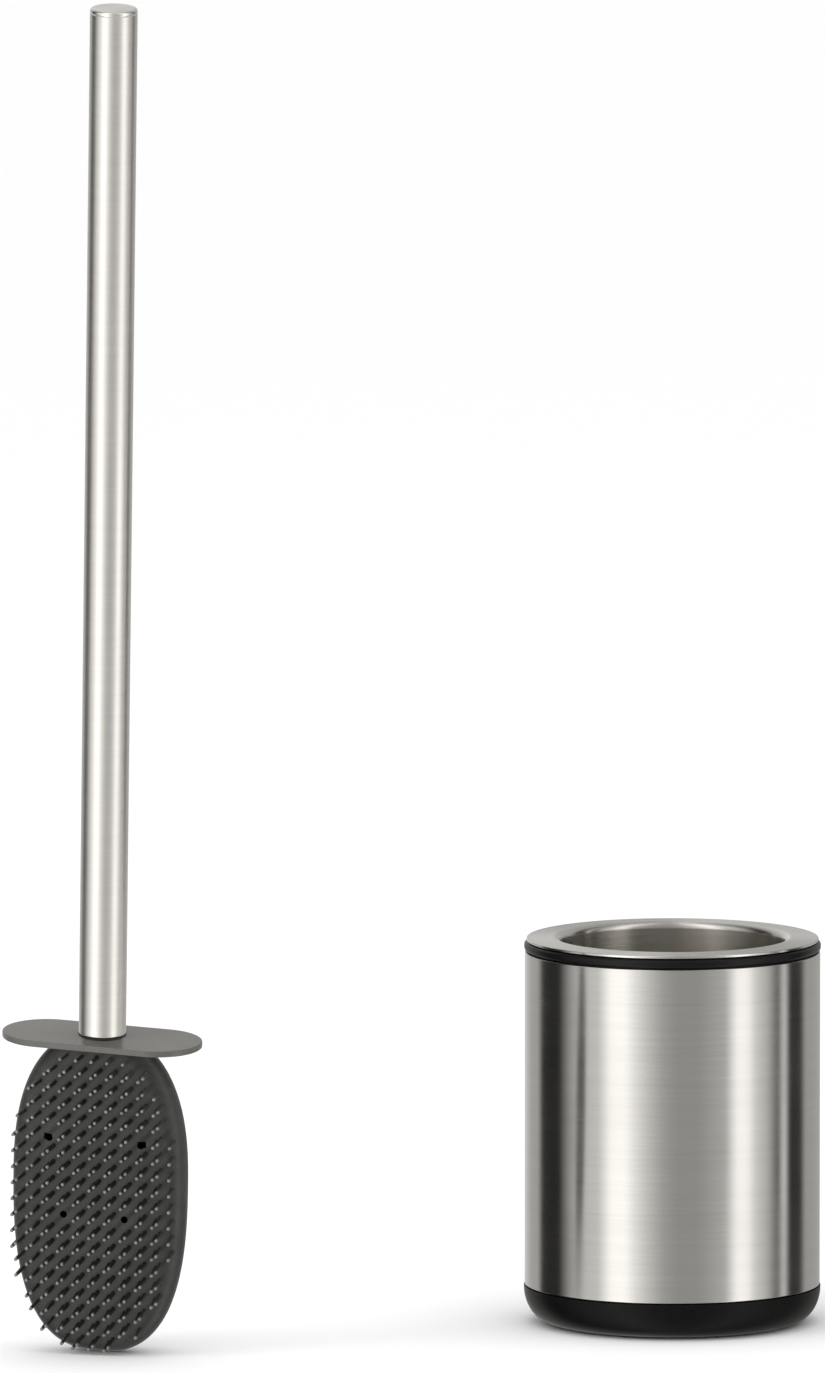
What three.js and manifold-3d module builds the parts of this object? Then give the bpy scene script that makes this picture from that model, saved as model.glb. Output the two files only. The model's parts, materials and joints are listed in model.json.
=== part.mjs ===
// Toilet brush and its round steel holder, in millimetres, +Z up.
// The origin is the middle of the holder's foot, on the floor. The brush stands beside the holder.
import * as THREE from 'three';
import Module from 'manifold-3d';

// ---- Driving sizes: holder ----
const HOLDER_DIAMETER = 90;
const HOLDER_HEIGHT = 118.3;
const SLEEVE_WALL = 0.8;
const LINER_WALL = 0.8;
const BASE_HEIGHT = 11.4;
const BASE_PROUD = 0.25;
const BASE_WALL = 2.2;
const BASE_CORNER_WIDTH = 7.8;
const SPIGOT_HEIGHT = 3.6;
const FOOT_INSET = 3.5;
const FOOT_THICKNESS = 1.9;
const FOOT_PROUD = 0.5;
const COLLAR_BAND = 2.8;
const COLLAR_PROUD = 0.2;
const COLLAR_SKIRT = 8;
const LIP_WIDTH = 10.4;
const LIP_INSET = 0.5;
const LIP_ROLL = 2.2;
const LIP_FALL = 0.25;
const CUP_FLOOR_CLEAR = 8;
const CUP_CORNER = 5;

// ---- Driving sizes: brush ----
const BRUSH_X = -174.2;
const BRUSH_Y = -60.9;
const BRUSH_TURN_DEG = -17;
const BRUSH_TILT_DEG = 6.8;
const BRUSH_LEAN_DEG = 0.79;
const HEAD_WIDTH = 54.8;
const HEAD_HEIGHT = 96.3;
const HEAD_WIDEST_AT = 54.6;
const HEAD_TOP_CUT = 3.4;
const HEAD_LOWER_POWER = 2.62;
const HEAD_UPPER_POWER = 2.4;
const HEAD_THICKNESS = 13;
const FACE_DOME = 0.8;
const EDGE_BAND = 4;
const SKIN_AT_EDGE = 5.5;
const CORE_THICKNESS = 5;
const SKIN_AT_NECK = 1;
const DRAIN_RADIUS = 1.1;
const DRAIN_LINING = 1.2;
const DRAIN_UPPER = [14.5, 12.1];
const DRAIN_LOWER = [9.65, -11.4];
const GUARD_LENGTH = 62;
const GUARD_WIDTH = 28;
const GUARD_THICKNESS = 1.9;
const GUARD_CHAMFER = 0.3;
const STUD_RADIUS = 2.5;
const STUD_IN_CORE = 14;
const STUD_IN_HANDLE = 6.5;
const SEAL_THICKNESS = 0.5;
const SEAL_PROUD = 0.15;
const SEAL_CLEAR = 0.2;
const HANDLE_DIAMETER = 14.3;
const HANDLE_LENGTH = 317.4;
const TUBE_WALL = 0.8;
const INSERT_LENGTH = 15;
const CAP_DISC = 1.2;
const CAP_PLUG = 9;
const CAP_EDGE = 0.9;

// ---- Clearance left between neighbouring pieces, and facet counts ----
const GAP = 0.3;
const BIG_ROUND = 96;
const SMALL_ROUND = 48;
const HEAD_ROUND = 56;

// ---- Derived sizes: holder ----
const sleeveOuter = HOLDER_DIAMETER / 2;
const sleeveInner = sleeveOuter - SLEEVE_WALL;
const lipUnder = HOLDER_HEIGHT - LIP_FALL - LINER_WALL;
const collarTop = lipUnder - GAP;
const collarBottom = collarTop - COLLAR_BAND;
const sleeveTop = collarBottom - GAP;
const sleeveBottom = BASE_HEIGHT + GAP;
const cupInner = sleeveOuter - LIP_INSET - LIP_WIDTH;
const cupOuter = cupInner + LINER_WALL;
const cupFloor = BASE_HEIGHT + CUP_FLOOR_CLEAR;
const groundRadius = sleeveOuter + BASE_PROUD - BASE_CORNER_WIDTH;
const footRadius = groundRadius - FOOT_INSET;

// ---- Derived sizes: brush ----
const headUpper = HEAD_HEIGHT - HEAD_WIDEST_AT + HEAD_TOP_CUT;
const flatShare = 1 - EDGE_BAND / (HEAD_WIDTH / 2);
const neckShare = (HEAD_HEIGHT - HEAD_WIDEST_AT) / headUpper;
const guardBottom = HEAD_HEIGHT + GAP;
const guardTop = guardBottom + GUARD_THICKNESS;
const sealBottom = guardTop + SEAL_CLEAR;
const sealTop = sealBottom + SEAL_THICKNESS;
const tubeBottom = sealTop + SEAL_CLEAR;
const handleTop = guardTop + HANDLE_LENGTH;
const capBottom = handleTop - CAP_DISC;
const tubeTop = capBottom - GAP;
const tubeOuter = HANDLE_DIAMETER / 2;
const tubeInner = tubeOuter - TUBE_WALL;
const insertBottom = tubeBottom + GAP;
const studBottom = HEAD_HEIGHT - STUD_IN_CORE;
const studTop = insertBottom + STUD_IN_HANDLE;
const studHole = STUD_RADIUS + GAP;
const neckRadius = faceDepth(neckShare, HEAD_THICKNESS) - SKIN_AT_NECK - GAP;

const wasm = await Module();
wasm.setup();

// ---- Solids from rings of points ----

// Volume enclosed by a triangle list, positive when the faces look outward.
function signedVolume(points, faces) {
  const a = new THREE.Vector3();
  const b = new THREE.Vector3();
  const c = new THREE.Vector3();
  let total = 0;
  for (let i = 0; i < faces.length; i += 3) {
    a.fromArray(points, faces[i] * 3);
    b.fromArray(points, faces[i + 1] * 3);
    c.fromArray(points, faces[i + 2] * 3);
    total += a.dot(b.cross(c)) / 6;
  }
  return total;
}

// One closed body with its faces turned outward.
function closedBody(points, faces) {
  const outward = faces.slice();
  if (signedVolume(points, faces) < 0) {
    for (let i = 0; i < outward.length; i += 3) {
      [outward[i + 1], outward[i + 2]] = [outward[i + 2], outward[i + 1]];
    }
  }
  const body = new THREE.BufferGeometry();
  body.setAttribute('position', new THREE.Float32BufferAttribute(points, 3));
  body.setIndex(outward);
  return body;
}

// Side faces between two rings of the same length.
function bandFaces(lower, upper) {
  const faces = [];
  const n = Math.max(lower.length, upper.length);
  for (let i = 0; i < n; i += 1) {
    const j = (i + 1) % n;
    if (lower.length === 1) faces.push(lower[0], upper[j], upper[i]);
    else if (upper.length === 1) faces.push(lower[i], lower[j], upper[0]);
    else faces.push(lower[i], lower[j], upper[j], lower[i], upper[j], upper[i]);
  }
  return faces;
}

// Joins rings in order. A ring may be a single point; a closed loop of rings joins its last to its first.
function ringBody(rings, loop) {
  const points = [];
  const indices = rings.map((ring) => ring.map((p) => {
    points.push(...p);
    return points.length / 3 - 1;
  }));
  const faces = [];
  for (let k = 0; k + 1 < indices.length; k += 1) faces.push(...bandFaces(indices[k], indices[k + 1]));
  if (loop) faces.push(...bandFaces(indices[indices.length - 1], indices[0]));
  return closedBody(points, faces);
}

// Turns a profile of [radius, height] pairs about Z. Zero radius at either end closes it on the axis.
function turned(profile, segments) {
  const rings = profile.map(([r, z]) => {
    if (r === 0) return [[0, 0, z]];
    return Array.from({ length: segments }, (_, i) => {
      const t = (2 * Math.PI * i) / segments;
      return [r * Math.cos(t), r * Math.sin(t), z];
    });
  });
  return ringBody(rings, profile[0][0] !== 0);
}

// Points along an ellipse's arc, as [radius, height] pairs.
function arc(centre, rx, rz, fromDeg, toDeg, steps) {
  return Array.from({ length: steps + 1 }, (_, i) => {
    const t = THREE.MathUtils.degToRad(fromDeg + ((toDeg - fromDeg) * i) / steps);
    return [centre[0] + rx * Math.cos(t), centre[1] + rz * Math.sin(t)];
  });
}

function rod(radius, bottom, top, segments) {
  return turned([[0, bottom], [radius, bottom], [radius, top], [0, top]], segments);
}

// ---- Joining and cutting ----

function toManifold(body) {
  const vertProperties = new Float32Array(body.getAttribute('position').array);
  const triVerts = new Uint32Array(body.getIndex().array);
  return new wasm.Manifold(new wasm.Mesh({ numProp: 3, vertProperties, triVerts }));
}

function fromManifold(manifold) {
  const mesh = manifold.getMesh();
  const body = new THREE.BufferGeometry();
  const points = [];
  for (let i = 0; i < mesh.numVert; i += 1) {
    const at = i * mesh.numProp;
    points.push(mesh.vertProperties[at], mesh.vertProperties[at + 1], mesh.vertProperties[at + 2]);
  }
  body.setAttribute('position', new THREE.Float32BufferAttribute(points, 3));
  body.setIndex(Array.from(mesh.triVerts));
  return body;
}

function cutAway(body, cutters) {
  let rest = toManifold(body);
  for (const cutter of cutters) rest = rest.subtract(toManifold(cutter));
  return fromManifold(rest);
}

function joined(bodies) {
  let whole = toManifold(bodies[0]);
  for (const body of bodies.slice(1)) whole = whole.add(toManifold(body));
  return fromManifold(whole);
}

// ---- Holder ----

// Brushed steel tube with its two edges broken.
function outerSleeve() {
  const edge = 0.2;
  return turned([
    [sleeveInner, sleeveBottom],
    [sleeveOuter - edge, sleeveBottom],
    [sleeveOuter, sleeveBottom + edge],
    [sleeveOuter, sleeveTop - edge],
    [sleeveOuter - edge, sleeveTop],
    [sleeveInner, sleeveTop],
  ], BIG_ROUND);
}

// Black moulded base: rounded outside, a recess for the foot pad and a spigot up into the sleeve.
function baseCup() {
  const outer = sleeveOuter + BASE_PROUD;
  const bottom = FOOT_PROUD;
  const recessRadius = footRadius + GAP;
  const recessTop = FOOT_THICKNESS + GAP;
  const curve = arc([groundRadius, BASE_HEIGHT - 0.3], BASE_CORNER_WIDTH, BASE_HEIGHT - 0.3 - bottom, -90, 0, 7);
  const floorTop = recessTop + BASE_WALL;
  const spigotOuter = sleeveInner - GAP;
  const spigotInner = spigotOuter - BASE_WALL;
  const dish = arc([spigotInner - 7, floorTop + 4], 7, 4, 0, -90, 3);
  return turned([
    [0, recessTop],
    [recessRadius, recessTop],
    [recessRadius, bottom],
    ...curve,
    [outer, BASE_HEIGHT],
    [spigotOuter, BASE_HEIGHT],
    [spigotOuter, BASE_HEIGHT + SPIGOT_HEIGHT],
    [spigotInner, BASE_HEIGHT + SPIGOT_HEIGHT],
    ...dish,
    [0, floorTop],
  ], BIG_ROUND);
}

// Non-slip rubber disc that the holder stands on.
function footPad() {
  const edge = 0.3;
  return turned([
    [0, 0],
    [footRadius - edge, 0],
    [footRadius, edge],
    [footRadius, FOOT_THICKNESS],
    [0, FOOT_THICKNESS],
  ], BIG_ROUND);
}

// Black ring between the sleeve and the lip, with a skirt pushed down inside the sleeve.
function rimCollar() {
  const outer = sleeveOuter + COLLAR_PROUD;
  const round = 0.8;
  const skirtOuter = sleeveInner - GAP;
  const skirtInner = skirtOuter - 1.6;
  return turned([
    [skirtInner, collarBottom - COLLAR_SKIRT],
    [skirtOuter, collarBottom - COLLAR_SKIRT],
    [skirtOuter, collarBottom],
    ...arc([outer - round, collarBottom + round], round, round, -90, 0, 3),
    ...arc([outer - round, collarTop - round], round, round, 0, 90, 3),
    [skirtInner, collarTop],
  ], BIG_ROUND);
}

// Steel cup that hangs in the collar by its broad rolled lip.
function linerCup() {
  const edge = sleeveOuter - LIP_INSET;
  const rollCentre = [cupInner + LIP_ROLL, HOLDER_HEIGHT - LIP_ROLL];
  const floorCentre = [cupInner - CUP_CORNER, cupFloor + CUP_CORNER];
  const outerRoll = LIP_ROLL - LINER_WALL;
  const outerCorner = CUP_CORNER + LINER_WALL;
  return turned([
    [0, cupFloor],
    ...arc(floorCentre, CUP_CORNER, CUP_CORNER, -90, 0, 3),
    ...arc(rollCentre, LIP_ROLL, LIP_ROLL, 180, 90, 5),
    [edge - 0.3, HOLDER_HEIGHT - LIP_FALL],
    [edge, HOLDER_HEIGHT - LIP_FALL - 0.3],
    [edge, lipUnder],
    [rollCentre[0], HOLDER_HEIGHT - LINER_WALL],
    ...arc(rollCentre, outerRoll, outerRoll, 90, 180, 4).slice(1),
    ...arc(floorCentre, outerCorner, outerCorner, 0, -90, 3),
    [0, cupFloor - LINER_WALL],
  ], BIG_ROUND);
}

// ---- Brush head ----

// Half thickness of the paddle at a share of the way out from its middle to its outline.
function faceDepth(share, thickness) {
  const half = thickness / 2;
  const domed = (s) => half - FACE_DOME * s * s;
  if (share <= flatShare) return domed(share);
  const out = Math.min(1, (share - flatShare) / (1 - flatShare));
  return domed(flatShare) * Math.sqrt(1 - out * out);
}

// Outline of the paddle: a rounder lower half and a squarer upper half.
function headOutline(inset) {
  const halfWidth = HEAD_WIDTH / 2 - inset;
  return Array.from({ length: HEAD_ROUND }, (_, i) => {
    const t = (2 * Math.PI * i) / HEAD_ROUND;
    const upper = Math.sin(t) >= 0;
    const power = 2 / (upper ? HEAD_UPPER_POWER : HEAD_LOWER_POWER);
    const height = (upper ? headUpper : HEAD_WIDEST_AT) - inset;
    const x = halfWidth * Math.sign(Math.cos(t)) * Math.abs(Math.cos(t)) ** power;
    const z = height * Math.sign(Math.sin(t)) * Math.abs(Math.sin(t)) ** power;
    return [x, z];
  });
}

// Pillow shape over an outline, from its front face to its back face.
function pillow(outline, levels) {
  const ring = ([share, depth]) => {
    if (share === 0) return [[0, depth, HEAD_WIDEST_AT]];
    return outline.map(([x, z]) => [x * share, depth, HEAD_WIDEST_AT + z * share]);
  };
  return ringBody(levels.map(ring), false);
}

// Levels of the domed outer surface: middle of the front face, round the edge, middle of the back.
function skinLevels() {
  const outside = [0, 0.4, 0.68, flatShare];
  for (const out of [0.4, 0.7, 0.88, 0.97]) outside.push(flatShare + (1 - flatShare) * out);
  const front = outside.map((share) => [share, -faceDepth(share, HEAD_THICKNESS)]);
  const back = outside.map((share) => [share, faceDepth(share, HEAD_THICKNESS)]).reverse();
  return [...front, [1, 0], ...back];
}

// Flat blade inside the paddle, grown by a margin when it is used as a cutter.
function blade(grow) {
  const half = CORE_THICKNESS / 2 + grow;
  const edge = 0.96;
  const levels = [[0, -half], [edge, -half], [1, -half + 1], [1, half - 1], [edge, half], [0, half]];
  return pillow(headOutline(SKIN_AT_EDGE - grow), levels);
}

// Small rods through the paddle at its four drain holes.
function drainRods(radius) {
  const spots = [DRAIN_UPPER, DRAIN_LOWER].flatMap(([x, z]) => [[x, z], [-x, z]]);
  return spots.map(([x, z]) => {
    const body = rod(radius, -HEAD_THICKNESS, HEAD_THICKNESS, 20);
    body.rotateX(Math.PI / 2);
    body.translate(x, 0, HEAD_WIDEST_AT + z);
    return body;
  });
}

function coreCutter() {
  const lined = cutAway(blade(GAP), drainRods(DRAIN_RADIUS + DRAIN_LINING));
  return joined([lined, rod(neckRadius + GAP, studBottom - 3 - GAP, HEAD_HEIGHT + 5, SMALL_ROUND)]);
}

// Soft paddle moulded over the core, open at the top and lining the drain holes.
function headSkin() {
  const paddle = pillow(headOutline(0), skinLevels());
  const above = new THREE.BoxGeometry(HEAD_WIDTH * 2, HEAD_THICKNESS * 2, 40).toNonIndexed();
  above.translate(0, 0, HEAD_HEIGHT + 20);
  const lid = weldedBox(above);
  return cutAway(paddle, [lid, coreCutter(), ...drainRods(DRAIN_RADIUS)]);
}

// Box corners merged so that the box is one closed body.
function weldedBox(box) {
  const raw = box.getAttribute('position').array;
  const seen = new Map();
  const points = [];
  const faces = [];
  for (let i = 0; i < raw.length; i += 3) {
    const key = `${raw[i]},${raw[i + 1]},${raw[i + 2]}`;
    if (!seen.has(key)) {
      seen.set(key, points.length / 3);
      points.push(raw[i], raw[i + 1], raw[i + 2]);
    }
    faces.push(seen.get(key));
  }
  return closedBody(points, faces);
}

// Stiff blade with a round neck that takes the threaded stud.
function headCore() {
  const pierced = cutAway(blade(0), drainRods(DRAIN_RADIUS + DRAIN_LINING + GAP));
  const neck = rod(neckRadius, studBottom - 3, HEAD_HEIGHT, SMALL_ROUND);
  const socket = rod(studHole, studBottom - GAP, HEAD_HEIGHT + 5, SMALL_ROUND);
  return cutAway(joined([pierced, neck]), [socket]);
}

function threadedStud() {
  const lead = 0.5;
  return turned([
    [0, studBottom],
    [STUD_RADIUS, studBottom],
    [STUD_RADIUS, studTop - lead],
    [STUD_RADIUS - lead, studTop],
    [0, studTop],
  ], SMALL_ROUND);
}

// Outline of the splash guard, two half circles joined by straight sides.
function guardOutline(inset) {
  const radius = GUARD_WIDTH / 2 - inset;
  const reach = GUARD_LENGTH / 2 - GUARD_WIDTH / 2;
  const steps = 24;
  const right = arc([reach, 0], radius, radius, -90, 90, steps);
  const left = arc([-reach, 0], radius, radius, 90, 270, steps);
  return [...right, ...left];
}

// Oval plate that covers the cup when the brush stands in it, with its edges broken.
function splashGuard() {
  const ring = (inset, z) => guardOutline(inset).map(([x, y]) => [x, y, z]);
  const plate = ringBody([
    [[0, 0, guardBottom]],
    ring(GUARD_CHAMFER, guardBottom),
    ring(0, guardBottom + GUARD_CHAMFER),
    ring(0, guardTop - GUARD_CHAMFER),
    ring(GUARD_CHAMFER, guardTop),
    [[0, 0, guardTop]],
  ], false);
  return cutAway(plate, [rod(studHole, guardBottom - 5, guardTop + 5, SMALL_ROUND)]);
}

// ---- Handle ----

function handleSealRing() {
  const outer = tubeOuter + SEAL_PROUD;
  const round = 0.15;
  return turned([
    [studHole, sealBottom],
    [outer - round, sealBottom],
    [outer, sealBottom + round],
    [outer, sealTop - round],
    [outer - round, sealTop],
    [studHole, sealTop],
  ], SMALL_ROUND);
}

function handleTube() {
  return turned([
    [tubeInner, tubeBottom],
    [tubeOuter, tubeBottom],
    [tubeOuter, tubeTop],
    [tubeInner, tubeTop],
  ], SMALL_ROUND);
}

// Plug in the tube's lower end with the blind socket that the stud screws into.
function handleInsert() {
  const outer = tubeInner - GAP;
  const socketTop = studTop + 2;
  return turned([
    [studHole, insertBottom],
    [outer, insertBottom],
    [outer, insertBottom + INSERT_LENGTH],
    [0, insertBottom + INSERT_LENGTH],
    [0, socketTop],
    [studHole, socketTop],
  ], SMALL_ROUND);
}

// Flat disc with a rounded edge on the tube's upper end, held by a plug inside it.
function handleEndCap() {
  const plugOuter = tubeInner - GAP;
  return turned([
    [0, capBottom - CAP_PLUG],
    [plugOuter, capBottom - CAP_PLUG],
    [plugOuter, capBottom],
    [tubeOuter, capBottom],
    ...arc([tubeOuter - CAP_EDGE, handleTop - CAP_EDGE], CAP_EDGE, CAP_EDGE, 0, 90, 4),
    [0, handleTop],
  ], SMALL_ROUND);
}

// ---- Assembly ----

const STEEL = { color: 0xb4b5b3, metalness: 1, roughness: 0.32 };
const DARK_STEEL = { color: 0x9a9b9a, metalness: 1, roughness: 0.4 };
const BLACK_PLASTIC = { color: 0x151515, metalness: 0, roughness: 0.35 };
const GREY_PLASTIC = { color: 0x7c7974, metalness: 0, roughness: 0.45 };
const CORE_PLASTIC = { color: 0x3a3a3a, metalness: 0, roughness: 0.5 };
const SOFT_RUBBER = { color: 0x3c3c3c, metalness: 0, roughness: 0.7 };
const FOOT_RUBBER = { color: 0x1b1b1b, metalness: 0, roughness: 0.85 };

function piece(name, body, finish) {
  const mesh = new THREE.Mesh(body.toNonIndexed(), new THREE.MeshStandardMaterial(finish));
  mesh.geometry.computeVertexNormals();
  mesh.name = name;
  mesh.material.name = name;
  return mesh;
}

// Turns a brush piece a little to the left and leans it forward and sideways, as the brush stands.
function leaning(body) {
  body.rotateZ(THREE.MathUtils.degToRad(BRUSH_TURN_DEG));
  body.rotateX(THREE.MathUtils.degToRad(BRUSH_TILT_DEG));
  body.rotateY(THREE.MathUtils.degToRad(BRUSH_LEAN_DEG));
  return body;
}

// Height that brings the lowest point of the leaning head down to the floor.
function floorLift() {
  const head = leaning(headSkin());
  head.computeBoundingBox();
  return -head.boundingBox.min.z;
}

const brushLift = floorLift();

// Stands a brush piece on its spot beside the holder.
function standing(body) {
  return leaning(body).translate(BRUSH_X, BRUSH_Y, brushLift);
}

function buildHolder() {
  return [
    piece('outer_sleeve', outerSleeve(), STEEL),
    piece('base_cup', baseCup(), BLACK_PLASTIC),
    piece('foot_pad', footPad(), FOOT_RUBBER),
    piece('rim_collar', rimCollar(), BLACK_PLASTIC),
    piece('liner_cup', linerCup(), STEEL),
  ];
}

function buildBrush() {
  return [
    piece('head_skin', standing(headSkin()), SOFT_RUBBER),
    piece('head_core', standing(headCore()), CORE_PLASTIC),
    piece('threaded_stud', standing(threadedStud()), DARK_STEEL),
    piece('splash_guard', standing(splashGuard()), GREY_PLASTIC),
    piece('handle_seal_ring', standing(handleSealRing()), BLACK_PLASTIC),
    piece('handle_tube', standing(handleTube()), STEEL),
    piece('handle_insert', standing(handleInsert()), CORE_PLASTIC),
    piece('handle_end_cap', standing(handleEndCap()), STEEL),
  ];
}

const holder = new THREE.Group();
holder.name = 'toilet_brush_and_holder';
holder.add(...buildHolder(), ...buildBrush());

export default holder;
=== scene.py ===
# %% [markdown]
# A toilet brush and its holder. The holder is a brushed steel canister with a black rim ring, a black
# base and a lift-out steel cup. The brush beside it has a long steel tube for a handle, a grey oval
# splash guard, and a flat rubber head covered with rubber pins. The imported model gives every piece's
# size and place. This lesson replaces its faceted pieces with finely turned and bevelled ones, and
# gives each a finish.

# %% Load the frame
import json
import math

import bmesh
import bpy
from mathutils import Matrix, Vector


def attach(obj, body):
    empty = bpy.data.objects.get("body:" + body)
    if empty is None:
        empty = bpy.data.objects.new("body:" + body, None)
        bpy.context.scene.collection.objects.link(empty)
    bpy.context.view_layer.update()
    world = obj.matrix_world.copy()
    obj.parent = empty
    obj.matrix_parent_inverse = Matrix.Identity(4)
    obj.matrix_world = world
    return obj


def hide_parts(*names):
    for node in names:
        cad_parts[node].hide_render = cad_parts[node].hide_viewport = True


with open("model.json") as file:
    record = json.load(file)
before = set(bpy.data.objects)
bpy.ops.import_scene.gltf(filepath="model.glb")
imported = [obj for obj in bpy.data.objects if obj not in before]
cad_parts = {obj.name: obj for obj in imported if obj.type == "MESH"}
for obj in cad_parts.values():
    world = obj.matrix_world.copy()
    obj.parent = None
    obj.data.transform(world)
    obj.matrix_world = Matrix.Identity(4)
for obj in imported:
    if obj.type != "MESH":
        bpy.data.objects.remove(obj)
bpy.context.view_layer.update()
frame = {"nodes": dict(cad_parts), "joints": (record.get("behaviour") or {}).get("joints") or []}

# %% [markdown]
# The holder stands upright on the origin, so its pieces can be turned about the Z axis as they are.
# The brush leans a little, so its pieces are made upright at the origin, in millimetres, and then one
# matrix stands them in place. Its axis and foot come from the joint that the handle unscrews on, and
# only the turn of the flat head about that axis is a number of its own.

# %% Where the brush stands
MM = 0.001
HEAD_TURN = math.radians(-17)
JOINT_ABOVE_FOOT = 0.1

unscrew = next(j for j in frame["joints"] if j["name"] == "handle_unscrew")
stem = Vector(unscrew["axis"]).normalized()
brush_foot = Vector(unscrew["pos_m"]) - stem * JOINT_ABOVE_FOOT
tilt = math.asin(-stem.y)
lean = math.atan2(stem.x, stem.z)
upright = Matrix.Scale(MM, 4)
brush_tipped = Matrix.Rotation(lean, 4, "Y") @ Matrix.Rotation(tilt, 4, "X")
brush_stand = Matrix.Translation(brush_foot) @ brush_tipped @ Matrix.Rotation(HEAD_TURN, 4, "Z")
print("brush foot", brush_foot[:], "tilt", round(math.degrees(tilt), 2), "lean", round(math.degrees(lean), 2))


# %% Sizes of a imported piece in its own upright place, in millimetres
def upright_box(node, stand):
    """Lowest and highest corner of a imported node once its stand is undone."""
    back = stand.inverted()
    corners = [(back @ v.co) / MM for v in frame["nodes"][node].data.vertices]
    low = Vector(min(c[i] for c in corners) for i in range(3))
    high = Vector(max(c[i] for c in corners) for i in range(3))
    return low, high


HOLDER_STAND = Matrix.Identity(4)
HOLDER_NODES = ("outer_sleeve", "base_cup", "rim_collar", "liner_cup", "foot_pad")
BRUSH_NODES = ("head_skin", "splash_guard", "handle_seal_ring", "handle_tube", "handle_end_cap",
               "threaded_stud")
for nodes, stand in ((HOLDER_NODES, HOLDER_STAND), (BRUSH_NODES, brush_stand)):
    for node in nodes:
        print(node, [tuple(round(c, 2) for c in corner) for corner in upright_box(node, stand)])

# %% [markdown]
# Brushed steel needs to know which way the surface runs, because its gloss is drawn out across the
# brush lines. So each turned piece carries a map whose first direction climbs the section and whose
# second goes round the axis. The angle is read from each face's own middle, so the map has no seam
# face that runs backwards.


# %% A map that climbs the section and goes round the axis
ON_THE_AXIS = 1e-3


def wrap_map(bm):
    layer = bm.loops.layers.uv.new("wrap")
    for face in bm.faces:
        middle = face.calc_center_median()
        face_angle = math.atan2(middle.y, middle.x)
        for loop in face.loops:
            x, y, z = loop.vert.co
            radius = math.hypot(x, y)
            off = math.atan2(y, x) - face_angle if radius > ON_THE_AXIS else 0.0
            off = (off + math.pi) % (2 * math.pi) - math.pi
            loop[layer].uv = ((z + radius) * MM, (face_angle + off) / (2 * math.pi))

# %% [markdown]
# Most pieces are round, as if turned on a lathe. The quickest honest way to make them is to draw half
# of the section as a wire, round its corners with a vertex bevel, and spin the wire through a full
# turn. The same helper then serves the sleeve, the base, the cup, the collar, the tube and the cap.


# %% Turning a section about the upright axis
def section_wire(bm, corners, closed):
    """Corners are (radius, height, rounding) in millimetres."""
    verts = [bm.verts.new((radius, 0, height)) for radius, height, _ in corners]
    pairs = list(zip(verts, verts[1:]))
    if closed:
        pairs.append((verts[-1], verts[0]))
    for pair in pairs:
        bm.edges.new(pair)
    return verts


def round_corners(bm, verts, corners, segments):
    for vert, (_, _, rounding) in zip(verts, corners):
        if rounding > 0:
            bmesh.ops.bevel(bm, geom=[vert], offset=rounding, offset_type="OFFSET", segments=segments,
                            profile=0.5, affect="VERTICES", material=-1)


def turned(corners, closed=True, segments=5, steps=160, stretch=1.0):
    """A spun solid. Stretch makes every rounding taller than it is wide."""
    bm = bmesh.new()
    squeezed = [(radius, height / stretch, rounding) for radius, height, rounding in corners]
    round_corners(bm, section_wire(bm, squeezed, closed), squeezed, segments)
    bmesh.ops.scale(bm, vec=(1, 1, stretch), verts=bm.verts[:])
    bmesh.ops.spin(bm, geom=bm.verts[:] + bm.edges[:], cent=(0, 0, 0), axis=(0, 0, 1),
                   angle=2 * math.pi, steps=steps, use_merge=True)
    bmesh.ops.remove_doubles(bm, verts=bm.verts[:], dist=1e-4)
    bmesh.ops.recalc_face_normals(bm, faces=bm.faces[:])
    wrap_map(bm)
    return bm


# %% From a bmesh to a finished object
CREASE_ANGLE = math.radians(34)


def finished(name, bm, stand, body, node, material, takes_its_place=True):
    """Stands the mesh in its place, shades it, gives it its finish, ties it to its body, and hides the
    imported node when it takes that node's place.
    """
    bm.transform(stand @ upright)
    mesh = bpy.data.meshes.new(name)
    bm.to_mesh(mesh)
    bm.free()
    mesh.shade_smooth()
    mesh.set_sharp_from_angle(angle=CREASE_ANGLE)
    piece = bpy.data.objects.new(name, mesh)
    bpy.context.scene.collection.objects.link(piece)
    piece.data.materials.append(material)
    even = piece.modifiers.new("even shading", "WEIGHTED_NORMAL")
    even.keep_sharp = True
    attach(piece, body)
    if takes_its_place:
        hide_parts(node)
    print(name, len(mesh.vertices), "vertices", len(mesh.polygons), "faces")
    return piece


# %% [markdown]
# The finishes come before the pieces, so that each piece can be given its own as it is made. Each
# material is a Principled surface fed by patterns. Patterns that several finishes share are node
# groups: fine brush lines, a slow smudge where hands and cloths have been, and the pebbled skin of
# moulded plastic and rubber.


# %% Small helpers for node trees
def group_tree(name, inputs, outputs):
    tree = bpy.data.node_groups.new(name, "ShaderNodeTree")
    for label, kind, default in inputs:
        socket = tree.interface.new_socket(label, in_out="INPUT", socket_type=kind)
        if default is not None:
            socket.default_value = default
    for label, kind in outputs:
        tree.interface.new_socket(label, in_out="OUTPUT", socket_type=kind)
    return tree, tree.nodes.new("NodeGroupInput"), tree.nodes.new("NodeGroupOutput")


def math_node(tree, operation, first, second=None):
    node = tree.nodes.new("ShaderNodeMath")
    node.operation = operation
    for socket, value in zip(node.inputs, (first, second)):
        if value is None:
            continue
        if isinstance(value, (int, float)):
            socket.default_value = value
        else:
            tree.links.new(value, socket)
    return node.outputs[0]


def noise_node(tree, vector, scale, detail=2.0, roughness=0.5):
    node = tree.nodes.new("ShaderNodeTexNoise")
    node.inputs["Scale"].default_value = scale
    node.inputs["Detail"].default_value = detail
    node.inputs["Roughness"].default_value = roughness
    tree.links.new(vector, node.inputs["Vector"])
    return node.outputs["Fac"]


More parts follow.
